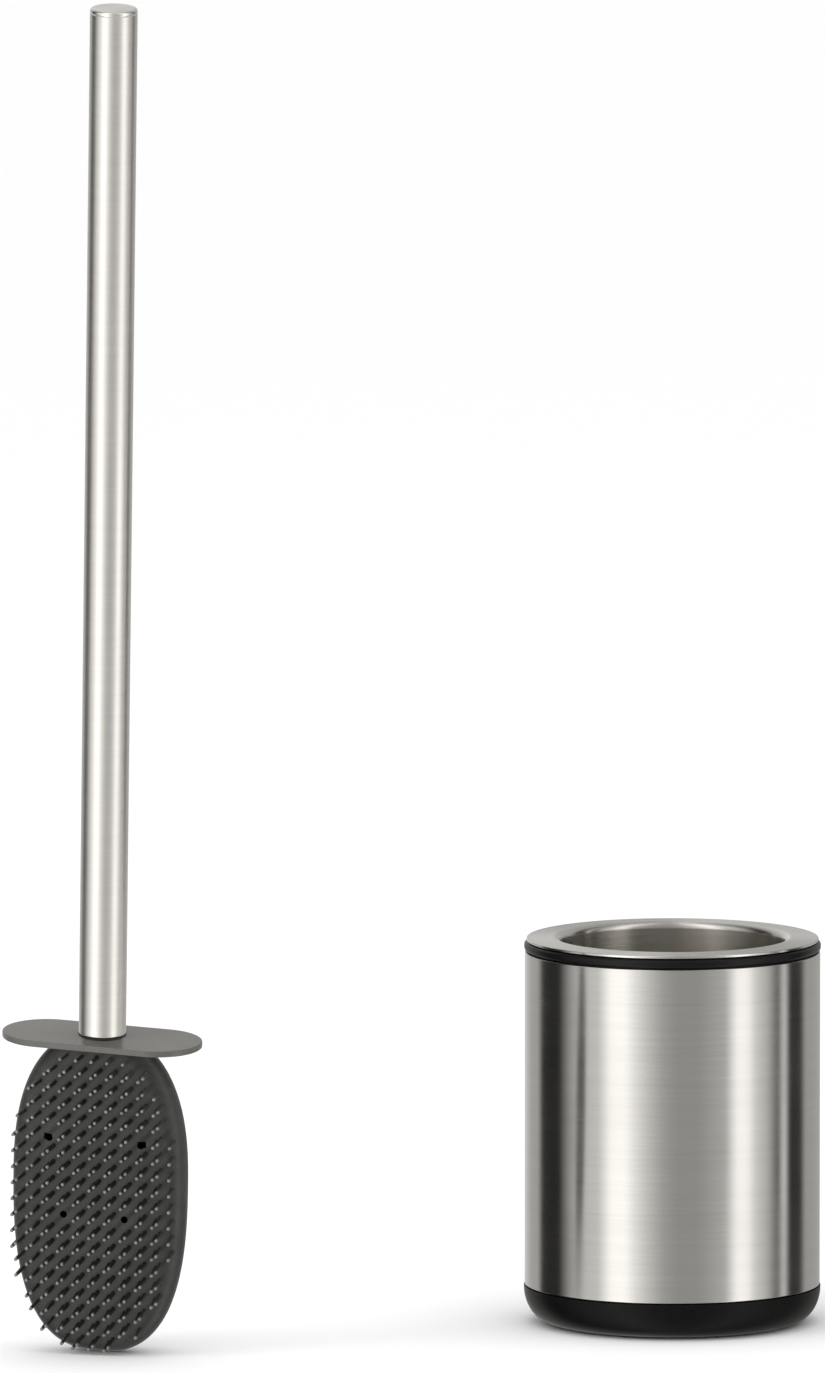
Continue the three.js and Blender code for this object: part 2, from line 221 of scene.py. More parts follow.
def range_node(tree, value, low, high, to_low=0.0, to_high=1.0):
    node = tree.nodes.new("ShaderNodeMapRange")
    tree.links.new(value, node.inputs["Value"])
    for label, number in (("From Min", low), ("From Max", high), ("To Min", to_low), ("To Max", to_high)):
        node.inputs[label].default_value = number
    return node.outputs["Result"]


# %% Brush lines: fine scratches that go round a turned piece
def brush_line_group():
    """Lines stay level on a wall and run in circles on a lip, because they follow height plus radius."""
    tree, start, end = group_tree("brush_lines", [
        ("Place", "NodeSocketVector", None), ("Lines per metre", "NodeSocketFloat", 3200.0),
        ("Streaks per metre", "NodeSocketFloat", 55.0)],
        [("Line", "NodeSocketFloat"), ("Band", "NodeSocketFloat")])
    split = tree.nodes.new("ShaderNodeSeparateXYZ")
    tree.links.new(start.outputs["Place"], split.inputs[0])
    x, y, z = split.outputs
    radius = math_node(tree, "SQRT", math_node(tree, "ADD", math_node(tree, "MULTIPLY", x, x),
                                                math_node(tree, "MULTIPLY", y, y)))
    along = math_node(tree, "ADD", z, radius)
    joined = tree.nodes.new("ShaderNodeCombineXYZ")
    slow = start.outputs["Streaks per metre"]
    tree.links.new(math_node(tree, "MULTIPLY", x, slow), joined.inputs[0])
    tree.links.new(math_node(tree, "MULTIPLY", y, slow), joined.inputs[1])
    tree.links.new(math_node(tree, "MULTIPLY", along, start.outputs["Lines per metre"]), joined.inputs[2])
    fine = noise_node(tree, joined.outputs[0], 1.0, 4.0, 0.62)
    broad = noise_node(tree, joined.outputs[0], 0.13, 2.0, 0.5)
    tree.links.new(fine, end.inputs["Line"])
    tree.links.new(broad, end.inputs["Band"])
    return tree


brush_lines = brush_line_group()
print("group", brush_lines.name, [s.name for s in brush_lines.interface.items_tree])


# %% Smudge: a slow patchy change of gloss
def smudge_group():
    tree, start, end = group_tree("smudge", [
        ("Place", "NodeSocketVector", None), ("Patches per metre", "NodeSocketFloat", 30.0),
        ("Least", "NodeSocketFloat", 0.0), ("Most", "NodeSocketFloat", 1.0)],
        [("Amount", "NodeSocketFloat")])
    scaled = tree.nodes.new("ShaderNodeVectorMath")
    scaled.operation = "SCALE"
    tree.links.new(start.outputs["Place"], scaled.inputs[0])
    tree.links.new(start.outputs["Patches per metre"], scaled.inputs["Scale"])
    patch = range_node(tree, noise_node(tree, scaled.outputs[0], 1.0, 3.0, 0.55), 0.35, 0.68)
    span = math_node(tree, "SUBTRACT", start.outputs["Most"], start.outputs["Least"])
    grown = math_node(tree, "MULTIPLY", patch, span)
    tree.links.new(math_node(tree, "ADD", grown, start.outputs["Least"]), end.inputs["Amount"])
    return tree


smudge = smudge_group()
print("group", smudge.name)


# %% Pebble: the fine moulded grain of plastic and rubber
def pebble_group():
    tree, start, end = group_tree("pebble", [
        ("Place", "NodeSocketVector", None), ("Grains per metre", "NodeSocketFloat", 2500.0)],
        [("Height", "NodeSocketFloat"), ("Speck", "NodeSocketFloat")])
    scaled = tree.nodes.new("ShaderNodeVectorMath")
    scaled.operation = "SCALE"
    tree.links.new(start.outputs["Place"], scaled.inputs[0])
    tree.links.new(start.outputs["Grains per metre"], scaled.inputs["Scale"])
    fine = noise_node(tree, scaled.outputs[0], 1.0, 2.0, 0.6)
    coarse = noise_node(tree, scaled.outputs[0], 0.22, 2.0, 0.5)
    most = math_node(tree, "MULTIPLY", fine, 0.7)
    least = math_node(tree, "MULTIPLY", coarse, 0.3)
    tree.links.new(math_node(tree, "ADD", most, least), end.inputs["Height"])
    tree.links.new(range_node(tree, coarse, 0.35, 0.7), end.inputs["Speck"])
    return tree


pebble = pebble_group()
print("group", pebble.name)


# %% Shared steps of every material
def new_material(name, stand):
    """A material whose patterns read the piece's own upright place, in metres."""
    material = bpy.data.materials.new(name)
    material.use_nodes = True
    tree = material.node_tree
    surface = tree.nodes["Principled BSDF"]
    coordinates = tree.nodes.new("ShaderNodeTexCoord")
    turn_back = tree.nodes.new("ShaderNodeMapping")
    turn_back.name = "own place"
    back = stand.inverted()
    turn_back.inputs["Location"].default_value = back.to_translation()
    turn_back.inputs["Rotation"].default_value = back.to_euler("XYZ")
    tree.links.new(coordinates.outputs["Object"], turn_back.inputs["Vector"])
    return material, tree, surface, turn_back.outputs["Vector"]


def use_group(tree, group, place, **values):
    node = tree.nodes.new("ShaderNodeGroup")
    node.node_tree = group
    tree.links.new(place, node.inputs["Place"])
    for label, value in values.items():
        node.inputs[label.replace("_", " ")].default_value = value
    return node


def blend_colour(tree, factor, first, second):
    """Each of the two is a plain colour or the output of another node."""
    node = tree.nodes.new("ShaderNodeMix")
    node.data_type = "RGBA"
    for label, colour in (("A", first), ("B", second)):
        if isinstance(colour, tuple):
            node.inputs[label].default_value = (*colour, 1)
        else:
            tree.links.new(colour, node.inputs[label])
    tree.links.new(factor, node.inputs["Factor"])
    return node.outputs["Result"]


def raise_surface(tree, surface, height, strength, distance):
    bump = tree.nodes.new("ShaderNodeBump")
    bump.inputs["Strength"].default_value = strength
    bump.inputs["Distance"].default_value = distance
    tree.links.new(height, bump.inputs["Height"])
    tree.links.new(bump.outputs["Normal"], surface.inputs["Normal"])


def paint_shade_where(material, amount_of, tone):
    """Paints shade into a finish: takes it towards a darker tone, by an amount worked out from the place on
    the piece.
    """
    tree = material.node_tree
    base_colour = tree.nodes["Principled BSDF"].inputs["Base Color"]
    plain = base_colour.links[0].from_socket
    split = tree.nodes.new("ShaderNodeSeparateXYZ")
    tree.links.new(tree.nodes["own place"].outputs["Vector"], split.inputs[0])
    tree.links.new(blend_colour(tree, amount_of(tree, *split.outputs), plain, tone), base_colour)


# %% [markdown]
# Brushed steel is a metal whose lines all run one way. Each line is a tiny groove, so light is smeared
# across the lines and hardly at all along them. The Principled surface calls this anisotropy, and its
# tangent comes from the wrap map. The lines also change the tone and the gloss a little, and a very
# small bump lets them catch the light.

# %% Brushed steel
LINE_HEIGHT = 0.00004


def brushed_steel(name, stand, dark, light, rough_low, rough_high, lines=3200.0, streaks=55.0,
                  drawn_out=0.92, line_depth=0.02):
    material, tree, surface, place = new_material(name, stand)
    lined = use_group(tree, brush_lines, place, Lines_per_metre=lines, Streaks_per_metre=streaks)
    smudged = use_group(tree, smudge, place, Patches_per_metre=28.0, Least=-0.02, Most=0.03)
    tone = math_node(tree, "ADD", math_node(tree, "MULTIPLY", lined.outputs["Line"], 0.65),
                     math_node(tree, "MULTIPLY", lined.outputs["Band"], 0.35))
    colour = blend_colour(tree, range_node(tree, tone, 0.3, 0.7), dark, light)
    tree.links.new(colour, surface.inputs["Base Color"])
    gloss = range_node(tree, lined.outputs["Line"], 0.3, 0.7, rough_low, rough_high)
    tree.links.new(math_node(tree, "ADD", gloss, smudged.outputs["Amount"]), surface.inputs["Roughness"])
    surface.inputs["Metallic"].default_value = 1.0
    surface.inputs["Anisotropic"].default_value = drawn_out
    climb = tree.nodes.new("ShaderNodeTangent")
    climb.direction_type = "UV_MAP"
    climb.uv_map = "wrap"
    tree.links.new(climb.outputs["Tangent"], surface.inputs["Tangent"])
    raise_surface(tree, surface, lined.outputs["Line"], line_depth, LINE_HEIGHT)
    return material


sleeve_steel = brushed_steel("sleeve_steel", HOLDER_STAND, (0.6, 0.59, 0.57), (0.66, 0.655, 0.64), 0.2, 0.25)
liner_steel = brushed_steel("liner_steel", HOLDER_STAND, (0.7, 0.69, 0.67), (0.77, 0.76, 0.74), 0.21, 0.26,
                            drawn_out=0.97)
handle_steel = brushed_steel("handle_steel", brush_stand, (0.86, 0.84, 0.805), (0.93, 0.915, 0.885),
                             0.36, 0.4, lines=2600.0, drawn_out=0.3, line_depth=0.01)
cap_steel = brushed_steel("cap_steel", brush_stand, (0.9, 0.885, 0.86), (0.96, 0.95, 0.93), 0.3, 0.36,
                          drawn_out=0.4)
print([m.name for m in bpy.data.materials])

# %% [markdown]
# Down in the cup the steel looks darker and a little browner than on the lip, because light gets there
# only after several bounces. The tent alone leaves it too pale, so that shade is painted into the
# finish, which goes over to a darker tone just below the lip. The outside of the cup's wall gets this
# painted shade too, and that is hidden until the cup is lifted out.

# %% Painted shade on the steel below the lip
LIP_LEVEL = 0.1175
LIP_FADE = 0.0015


def shade_below_the_lip(tree, x, y, z):
    return range_node(tree, z, LIP_LEVEL - LIP_FADE, LIP_LEVEL, 1.0, 0.0)


# Painted shade: the darker, browner tone inside the cup stands in for light that hardly reaches there.
paint_shade_where(liner_steel, shade_below_the_lip, (0.57, 0.545, 0.5))

# %% [markdown]
# The black and grey parts are moulded. A moulded skin has a fine grain from its tool, a few paler
# specks, and a gloss that changes slowly where it has been handled. Black plastic hardly mirrors
# anything, so its specular level is set low on the surface itself.

# %% Moulded plastic and rubber
GRAIN_HEIGHT = 0.00008


def moulded(name, stand, base, speck, rough_low, rough_high, grains=2500.0, grain_depth=0.08, shine=0.5):
    material, tree, surface, place = new_material(name, stand)
    grain = use_group(tree, pebble, place, Grains_per_metre=grains)
    smudged = use_group(tree, smudge, place, Patches_per_metre=38.0, Least=rough_low, Most=rough_high)
    colour = blend_colour(tree, grain.outputs["Speck"], base, speck)
    tree.links.new(colour, surface.inputs["Base Color"])
    tree.links.new(smudged.outputs["Amount"], surface.inputs["Roughness"])
    surface.inputs["Specular IOR Level"].default_value = shine
    raise_surface(tree, surface, grain.outputs["Height"], grain_depth, GRAIN_HEIGHT)
    return material


base_plastic = moulded("base_plastic", HOLDER_STAND, (0.003, 0.003, 0.003), (0.0045, 0.0045, 0.0045),
                       0.32, 0.42, shine=0.13)
collar_plastic = moulded("collar_plastic", HOLDER_STAND, (0.0035, 0.0035, 0.0035), (0.005, 0.005, 0.005),
                         0.28, 0.38, shine=0.22)
foot_rubber = moulded("foot_rubber", HOLDER_STAND, (0.012, 0.012, 0.012), (0.018, 0.018, 0.018), 0.75, 0.9,
                      grains=1200.0, grain_depth=0.3)
core_plastic = moulded("core_plastic", brush_stand, (0.03, 0.03, 0.03), (0.04, 0.04, 0.04), 0.4, 0.55)
seal_rubber = moulded("seal_rubber", brush_stand, (0.008, 0.008, 0.008), (0.012, 0.012, 0.012), 0.5, 0.65)
head_rubber = moulded("head_rubber", brush_stand, (0.04, 0.04, 0.0388), (0.049, 0.049, 0.0477), 0.32, 0.42,
                      grains=1800.0, grain_depth=0.15, shine=0.38)
# Painted shade: a near-black finish for the walls of the narrow drain holes.
drain_shade_rubber = moulded("drain_shade_rubber", brush_stand, (0.002, 0.002, 0.002), (0.003, 0.003, 0.003), 0.8, 0.9,
                      shine=0.0)
guard_plastic = moulded("guard_plastic", brush_stand, (0.112, 0.108, 0.1), (0.126, 0.121, 0.113), 0.27, 0.35,
                        grains=3000.0, grain_depth=0.05)
print("plastics and rubbers ready")

# %% [markdown]
# The pins stand so close together that little light reaches the rubber between them. Under a soft even
# tent that darkness comes out too weak, so it is painted into the head's finish as shade along the
# slanting lanes between the rows of pins, on the two faces only. The lanes follow the grid that the
# pins stand on.

# %% Painted shade in the lanes between the pins
PIN_ACROSS = 4.85
PIN_UP = 4.93
PIN_OFF_MIDDLE = 1.6
PADDLE_WIDEST_AT = 54.6
LANE_SHADE_STRENGTH = 0.85
LANE_DARK = 0.06
LANE_CLEAR = 0.36
FACE_STARTS = 4.8
FACE_FULL = 6.0


def shade_between_the_pins(tree, x, y, z):
    shift = PIN_OFF_MIDDLE / PIN_ACROSS - PADDLE_WIDEST_AT / PIN_UP
    across = math_node(tree, "MULTIPLY", x, 1 / (PIN_ACROSS * MM))
    up = math_node(tree, "MULTIPLY", z, 1 / (PIN_UP * MM))
    lane = math_node(tree, "SUBTRACT", math_node(tree, "SUBTRACT", across, up), shift)
    off_lane = math_node(tree, "PINGPONG", lane, 0.5)
    dark = range_node(tree, off_lane, LANE_DARK, LANE_CLEAR, 1.0, 0.0)
    on_face = range_node(tree, math_node(tree, "ABSOLUTE", y), FACE_STARTS * MM, FACE_FULL * MM)
    return math_node(tree, "MULTIPLY", math_node(tree, "MULTIPLY", dark, on_face), LANE_SHADE_STRENGTH)


# Painted shade: the lanes between the pins go towards near black.
paint_shade_where(head_rubber, shade_between_the_pins, (0.006, 0.006, 0.006))

# %% [markdown]
# The sleeve is a thin steel tube. Its top and bottom edges are deburred, and they catch a thin line
# of light. A tube could be an open surface with thickness added by a modifier, but a closed section
# of four corners, spun once, gives both walls and both edges at a stroke.

# %% Sleeve of the holder
SLEEVE_WALL = 0.8
low, high = upright_box("outer_sleeve", HOLDER_STAND)
sleeve_radius, sleeve_bottom, sleeve_top = high.x, low.z, high.z
finished("sleeve", turned([
    (sleeve_radius - SLEEVE_WALL, sleeve_bottom, 0.1), (sleeve_radius, sleeve_bottom, 0.3),
    (sleeve_radius, sleeve_top, 0.3), (sleeve_radius - SLEEVE_WALL, sleeve_top, 0.1)],
    segments=3, steps=192), HOLDER_STAND, "holder", "outer_sleeve", sleeve_steel)

# %% [markdown]
# The base is one black moulding. Outside it curves in to a smaller foot, and the curve is taller than
# it is wide. A vertex bevel only draws true quarter circles, so the section is drawn squeezed, rounded
# and then stretched back. Inside, a spigot reaches up into the sleeve, and a shallow recess takes the
# rubber foot pad.

# %% Base and foot pad
BASE_BOTTOM = 0.5
BASE_SHOULDER = 11.4
BASE_CORNER_WIDTH = 7.8
BASE_WALL = 2.2
low, high = upright_box("base_cup", HOLDER_STAND)
_, foot_high = upright_box("foot_pad", HOLDER_STAND)
spigot = sleeve_radius - SLEEVE_WALL - 0.3
base_floor = foot_high.z + 0.3
corner_height = BASE_SHOULDER - 0.3 - BASE_BOTTOM
finished("base", turned([
    (0, base_floor, 0), (foot_high.x + 0.3, base_floor, 0), (foot_high.x + 0.3, BASE_BOTTOM, 0),
    (high.x, BASE_BOTTOM, BASE_CORNER_WIDTH), (high.x, BASE_SHOULDER, 0.15), (spigot, BASE_SHOULDER, 0),
    (spigot, high.z, 0.2), (spigot - BASE_WALL, high.z, 0.2),
    (spigot - BASE_WALL, base_floor + BASE_WALL, 2.5), (0, base_floor + BASE_WALL, 0)],
    closed=False, segments=12, steps=192,
    stretch=corner_height / BASE_CORNER_WIDTH), HOLDER_STAND, "holder", "base_cup", base_plastic)
finished("foot_pad_rubber", turned([
    (0, 0, 0), (foot_high.x, 0, 0.35), (foot_high.x, foot_high.z, 0.15), (0, foot_high.z, 0)],
    closed=False, segments=3, steps=128), HOLDER_STAND, "holder", "foot_pad", foot_rubber)

# %% [markdown]
# The black ring between the sleeve and the steel lip is what the eye reads as a dark line. Its outer
# face is softly rounded, so light falls off towards both of its edges. A skirt below it, pushed into
# the sleeve, holds it there.

# %% Rim collar
COLLAR_BAND = 2.8
COLLAR_ROUND = 1.1
low, high = upright_box("rim_collar", HOLDER_STAND)
skirt_inner = spigot - 1.6
finished("collar", turned([
    (skirt_inner, low.z, 0.2), (spigot, low.z, 0.3), (spigot, high.z - COLLAR_BAND, 0),
    (high.x, high.z - COLLAR_BAND, COLLAR_ROUND), (high.x, high.z, COLLAR_ROUND), (skirt_inner, high.z, 0.2)],
    segments=6, steps=192), HOLDER_STAND, "holder", "rim_collar", collar_plastic)

# %% [markdown]
# The cup is one piece of thin steel: a flat floor, straight walls, and a broad lip rolled outward at
# the mouth. The roll is what gives the thin bright ring round the opening. The section follows the
# inside from the floor up to the lip, and comes back down the outside one wall thickness away.

# %% Liner cup
LINER_WALL = 0.8
LIP_WIDTH = 10.4
LIP_ROLL = 2.2
LIP_FALL = 0.25
CUP_CORNER = 5
low, high = upright_box("liner_cup", HOLDER_STAND)
lip_edge = high.x
mouth = lip_edge - LIP_WIDTH
cup_floor = low.z + LINER_WALL
finished("liner", turned([
    (0, cup_floor, 0), (mouth, cup_floor, CUP_CORNER), (mouth, high.z, LIP_ROLL),
    (lip_edge, high.z - LIP_FALL, 0.3), (lip_edge, high.z - LIP_FALL - LINER_WALL, 0.15),
    (mouth + LINER_WALL, high.z - LINER_WALL, LIP_ROLL - LINER_WALL),
    (mouth + LINER_WALL, low.z, CUP_CORNER + LINER_WALL), (0, low.z, 0)],
    closed=False, segments=12, steps=192), HOLDER_STAND, "liner", "liner_cup", liner_steel)

# %% [markdown]
# The handle is a plain steel tube. A thin black ring seals its lower end against the guard, and a
# steel disc closes the top almost flush, with a soft edge that a hand slides over.

# %% Handle tube, end cap and seal ring
TUBE_WALL = 0.8
low, high = upright_box("handle_tube", brush_stand)
tube_radius, tube_bottom, tube_top = (high.x - low.x) / 2, low.z, high.z
tube = finished("tube", turned([
    (tube_radius - TUBE_WALL, tube_bottom, 0.1), (tube_radius, tube_bottom, 0.25),
    (tube_radius, tube_top, 0.12), (tube_radius - TUBE_WALL, tube_top, 0.1)],
    segments=3, steps=96), brush_stand, "handle", "handle_tube", handle_steel)
cap_low, cap_high = upright_box("handle_end_cap", brush_stand)
CAP_EDGE = 0.9
plug_radius = tube_radius - TUBE_WALL - 0.3
cap = finished("cap", turned([
    (0, cap_low.z, 0), (plug_radius, cap_low.z, 0.3), (plug_radius, tube_top + 0.3, 0),
    (tube_radius, tube_top + 0.3, 0.1), (tube_radius, cap_high.z, CAP_EDGE), (0, cap_high.z, 0)],
    closed=False, segments=6, steps=96), brush_stand, "handle", "handle_end_cap", cap_steel)
seal_low, seal_high = upright_box("handle_seal_ring", brush_stand)
seal_radius = (seal_high.x - seal_low.x) / 2
STUD_HOLE = 2.8
seal = finished("seal", turned([
    (STUD_HOLE, seal_low.z, 0), (seal_radius, seal_low.z, 0.2), (seal_radius, seal_high.z, 0.2),
    (STUD_HOLE, seal_high.z, 0)], segments=4, steps=96),
    brush_stand, "seal", "handle_seal_ring", seal_rubber)

# %% [markdown]
# The stud is a threaded steel rod. Only its upper end shows, and only when the handle is unscrewed.
# The thread is a small three-sided section swept along a helix: the spin operator climbs by the step
# vector while it turns, which is all a screw thread is. It wraps a plain core.

# %% Threaded stud
THREAD_PITCH = 0.8
THREAD_DEPTH = 0.42
THREAD_STEPS = 24


def threaded_rod(radius, bottom, top):
    core = radius - THREAD_DEPTH
    bm = turned([(0, bottom, 0), (core, bottom, 0.3), (core, top, 0.3), (0, top, 0)], closed=False,
                segments=2, steps=32)
    turns = int((top - bottom - 1.6) / THREAD_PITCH)
    start = bottom + 0.6
    corners = [bm.verts.new(c) for c in (
        (core - 0.05, 0, start), (radius, 0, start + 0.36), (core - 0.05, 0, start + 0.72))]
    section = bm.faces.new(corners)
    swept = bmesh.ops.spin(bm, geom=[section], cent=(0, 0, 0), axis=(0, 0, 1),
                           dvec=(0, 0, THREAD_PITCH / THREAD_STEPS), angle=2 * math.pi * turns,
                           steps=turns * THREAD_STEPS, use_merge=False)
    print("thread of", turns, "turns, last section", len(swept["geom_last"]))
    bmesh.ops.recalc_face_normals(bm, faces=bm.faces[:])
    wrap_map(bm)
    return bm


low, high = upright_box("threaded_stud", brush_stand)
stud_steel = brushed_steel("stud_steel", brush_stand, (0.42, 0.42, 0.41), (0.55, 0.55, 0.54), 0.3, 0.4,
                           drawn_out=0.0)
finished("stud", threaded_rod((high.x - low.x) / 2, low.z, high.z), brush_stand, "brush",
         "threaded_stud", stud_steel)

# %% [markdown]
# The splash guard is a thin oval plate: two half circles joined by straight sides. A circle is cut
# into halves that move apart, the gap is bridged, and the flat face is extruded to the plate's
# thickness. A narrow chamfer round both rims gives the pale line that marks the plate's edge.

# %% Splash guard
GUARD_ROUND = 0.32
low, high = upright_box("splash_guard", brush_stand)


def oval_plate(length, width, bottom, top):
    bm = bmesh.new()
    sides = 96
    bmesh.ops.create_circle(bm, cap_ends=True, segments=sides, radius=width / 2,
                            matrix=Matrix.Rotation(math.pi / sides, 4, "Z"))
    for vert in bm.verts:
        vert.co.x += math.copysign((length - width) / 2, vert.co.x)
        vert.co.z = bottom
    raised = bmesh.ops.extrude_face_region(bm, geom=bm.faces[:])
    bmesh.ops.translate(bm, vec=(0, 0, top - bottom),
                        verts=[g for g in raised["geom"] if isinstance(g, bmesh.types.BMVert)])
    bmesh.ops.recalc_face_normals(bm, faces=bm.faces[:])
    rims = [e for e in bm.edges if abs(e.verts[0].co.z - e.verts[1].co.z) < 1e-6]
    bmesh.ops.bevel(bm, geom=rims, offset=GUARD_ROUND, offset_type="OFFSET", segments=3, profile=0.5,
                    affect="EDGES", material=-1)
    return bm


guard = finished("guard", oval_plate(high.x - low.x, high.y - low.y, low.z, high.z), brush_stand, "brush",
                 "splash_guard", guard_plastic)

# %% [markdown]
# The head is a flat paddle of soft rubber over a stiff core. Seen from the front it is a soft
# rectangle, a little rounder above, and its rim is a generous round. The outline is a superellipse,
# which no operator draws, so it is laid down point by point. Everything after that is an operator:
# extrude for thickness, bevel for the round rim, inset for the slight dome, and one cut across the
# top where the neck meets the guard.

# %% Outline of the paddle
PADDLE_TOP_CUT = 3.4
LOWER_POWER = 2.62
UPPER_POWER = 2.4
skin_low, skin_high = upright_box("head_skin", brush_stand)
half_width = (skin_high.x - skin_low.x) / 2
paddle_depth = skin_high.y - skin_low.y
upper_reach = skin_high.z - PADDLE_WIDEST_AT + PADDLE_TOP_CUT


def outline_half(above):
    """Power and reach of the upper or the lower half of the outline."""
    return (UPPER_POWER, upper_reach) if above else (LOWER_POWER, PADDLE_WIDEST_AT)


def outline_point(angle):
    power, reach = outline_half(math.sin(angle) >= 0)
    x = half_width * math.copysign(abs(math.cos(angle)) ** (2 / power), math.cos(angle))
    z = reach * math.copysign(abs(math.sin(angle)) ** (2 / power), math.sin(angle))
    return x, PADDLE_WIDEST_AT + z


def inside_share(x, z):
    """0 at the paddle's middle, 1 on its outline."""
    up = z - PADDLE_WIDEST_AT
    power, reach = outline_half(up >= 0)
    return (abs(x / half_width) ** power + abs(up / reach) ** power) ** (1 / power)


print("paddle", round(2 * half_width, 2), "wide", round(paddle_depth, 2), "thick")


# %% Rubber skin of the paddle
OUTLINE_POINTS = 128
RIM_ROUND = 5.4
DOME_STEP = 0.2
DOME_RINGS = 4
DOME_RING_WIDTH = 2.6
DRAIN_SPOTS = [(-14.5, 66.7), (14.5, 66.7), (-9.65, 43.2), (9.65, 43.2)]
DRAIN_RADIUS = 1.1


def paddle():
    bm = bmesh.new()
    depth = paddle_depth - 2 * DOME_STEP * DOME_RINGS
    angles = [2 * math.pi * (i + 0.5) / OUTLINE_POINTS for i in range(OUTLINE_POINTS)]
    ring = [bm.verts.new((x, -depth / 2, z)) for x, z in map(outline_point, angles)]
    bm.faces.new(ring)
    raised = bmesh.ops.extrude_face_region(bm, geom=bm.faces[:])
    bmesh.ops.translate(bm, vec=(0, depth, 0),
                        verts=[g for g in raised["geom"] if isinstance(g, bmesh.types.BMVert)])
    bmesh.ops.recalc_face_normals(bm, faces=bm.faces[:])
    rims = [e for e in bm.edges if abs(e.verts[0].co.y - e.verts[1].co.y) < 1e-6]
    bmesh.ops.bevel(bm, geom=rims, offset=RIM_ROUND, offset_type="OFFSET", segments=9, profile=0.5,
                    affect="EDGES", material=-1)
    faces = [f for f in bm.faces if len(f.verts) > 8]
    for _ in range(DOME_RINGS):
        bmesh.ops.inset_region(bm, faces=faces, thickness=DOME_RING_WIDTH, depth=DOME_STEP,
                               use_even_offset=True)
    bmesh.ops.bisect_plane(bm, geom=bm.verts[:] + bm.edges[:] + bm.faces[:], plane_co=(0, 0, skin_high.z),
                           plane_no=(0, 0, 1), clear_outer=True)
    bmesh.ops.holes_fill(bm, edges=[e for e in bm.edges if e.is_boundary])
    bmesh.ops.recalc_face_normals(bm, faces=bm.faces[:])
    return bm


def drain_cutters():
    bm = bmesh.new()
    across = Matrix.Rotation(math.pi / 2, 4, "X")
    for x, z in DRAIN_SPOTS:
        bmesh.ops.create_cone(bm, cap_ends=True, segments=24, radius1=DRAIN_RADIUS, radius2=DRAIN_RADIUS,
                              depth=40, matrix=Matrix.Translation((x, 0, z)) @ across)
    return bm


def pierced(solid, cutters):
    """The solid with its drain holes cut through, as a new bmesh."""
    made = []
    for label, bm in (("solid", solid), ("cutters", cutters)):
        mesh = bpy.data.meshes.new(label)
        bm.to_mesh(mesh)
        bm.free()
        made.append(bpy.data.objects.new(label, mesh))
        bpy.context.scene.collection.objects.link(made[-1])
    cut = made[0].modifiers.new("drain holes", "BOOLEAN")
    cut.operation = "DIFFERENCE"
    cut.object = made[1]
    bpy.context.view_layer.update()
    result = bmesh.new()
    result.from_object(made[0], bpy.context.evaluated_depsgraph_get())
    for helper in made:
        bpy.data.objects.remove(helper)
    return result


def shade_the_drains(piece, finish):
    """Paints shade into the drain holes: their walls get a near-black finish of their own."""
    piece.data.materials.append(finish)
    back_to_paddle = brush_stand.inverted()
    lined = 0
    for face in piece.data.polygons:
        middle = (back_to_paddle @ face.center) / MM
        if any(math.hypot(middle.x - x, middle.z - z) < DRAIN_RADIUS + 0.01 for x, z in DRAIN_SPOTS):
            face.material_index = 1
            lined += 1
    print(lined, "faces line the drain holes")


head = finished("head", pierced(paddle(), drain_cutters()), brush_stand, "brush", "head_skin", head_rubber)
shade_the_drains(head, drain_shade_rubber)

# %% [markdown]
# Rubber pins cover both faces, in pairs on a square grid. A pin is a slim tapered peg with a blunt
# end, a few dozen faces at most, because there are hundreds of them. They lean down a little and fan
# out from the middle. A map on each pin runs from its root to its tip, so that the finish can paint
# shade on the shaft and a highlight on the tip.

# %% Shape of one pin
PIN_LENGTH = 6.2
PIN_SUNK = 2.0
PIN_ROOT_RADIUS = 0.78
PIN_TIP_RADIUS = 0.5
PIN_TIP_ROUND = 0.16
PIN_SIDES = 8


def pin_mesh():
    """A peg along +Z from the sunk root to the tip, mapped from 0 at the surface to 1 at the tip."""
    bm = bmesh.new()
    whole = PIN_SUNK + PIN_LENGTH
    bmesh.ops.create_cone(bm, cap_ends=True, segments=PIN_SIDES, radius1=PIN_ROOT_RADIUS,
                          radius2=PIN_TIP_RADIUS, depth=whole,
                          matrix=Matrix.Translation((0, 0, whole / 2 - PIN_SUNK)))
    tip = [e for e in bm.edges if all(v.co.z > PIN_LENGTH - 1e-3 for v in e.verts)]
    bmesh.ops.bevel(bm, geom=tip, offset=PIN_TIP_ROUND, offset_type="OFFSET", segments=2, profile=0.5,
                    affect="EDGES", material=-1)
    layer = bm.loops.layers.uv.new("pin")
    for face in bm.faces:
        for loop in face.loops:
            loop[layer].uv = (0.5, max(0.0, loop.vert.co.z / PIN_LENGTH))
    mesh = bpy.data.meshes.new("pin")
    bm.to_mesh(mesh)
    print("one pin has", len(bm.faces), "faces")
    bm.free()
    return mesh


# %% Places of the pins
FRONT_MARGIN = 0.93
BACK_MARGIN = 0.86
PAIR_STEP = (-1.35, -1.1)
PIN_ROWS = range(-11, 10)
PIN_COLUMNS = range(-6, 6)
NECK_CLEAR = 2.2
PIN_DROOP = math.tan(math.radians(6))
PIN_FAN = 0.1
PIN_HANGS = (-2.0, -1.9)
DRAIN_CLEAR = DRAIN_RADIUS + 0.35


def face_depth(px, pz):
    """How far the paddle's face stands in front of its middle plane, on the dome and on the round rim."""
    share = inside_share(px, pz)
    from_edge = (1 - share) * math.hypot(px, pz - PADDLE_WIDEST_AT) / max(share, 1e-6)
    into_rim = max(0.0, RIM_ROUND - from_edge)
    rim_fall = RIM_ROUND - math.sqrt(RIM_ROUND ** 2 - into_rim ** 2)
    return paddle_depth / 2 - DOME_STEP * DOME_RINGS * share - rim_fall


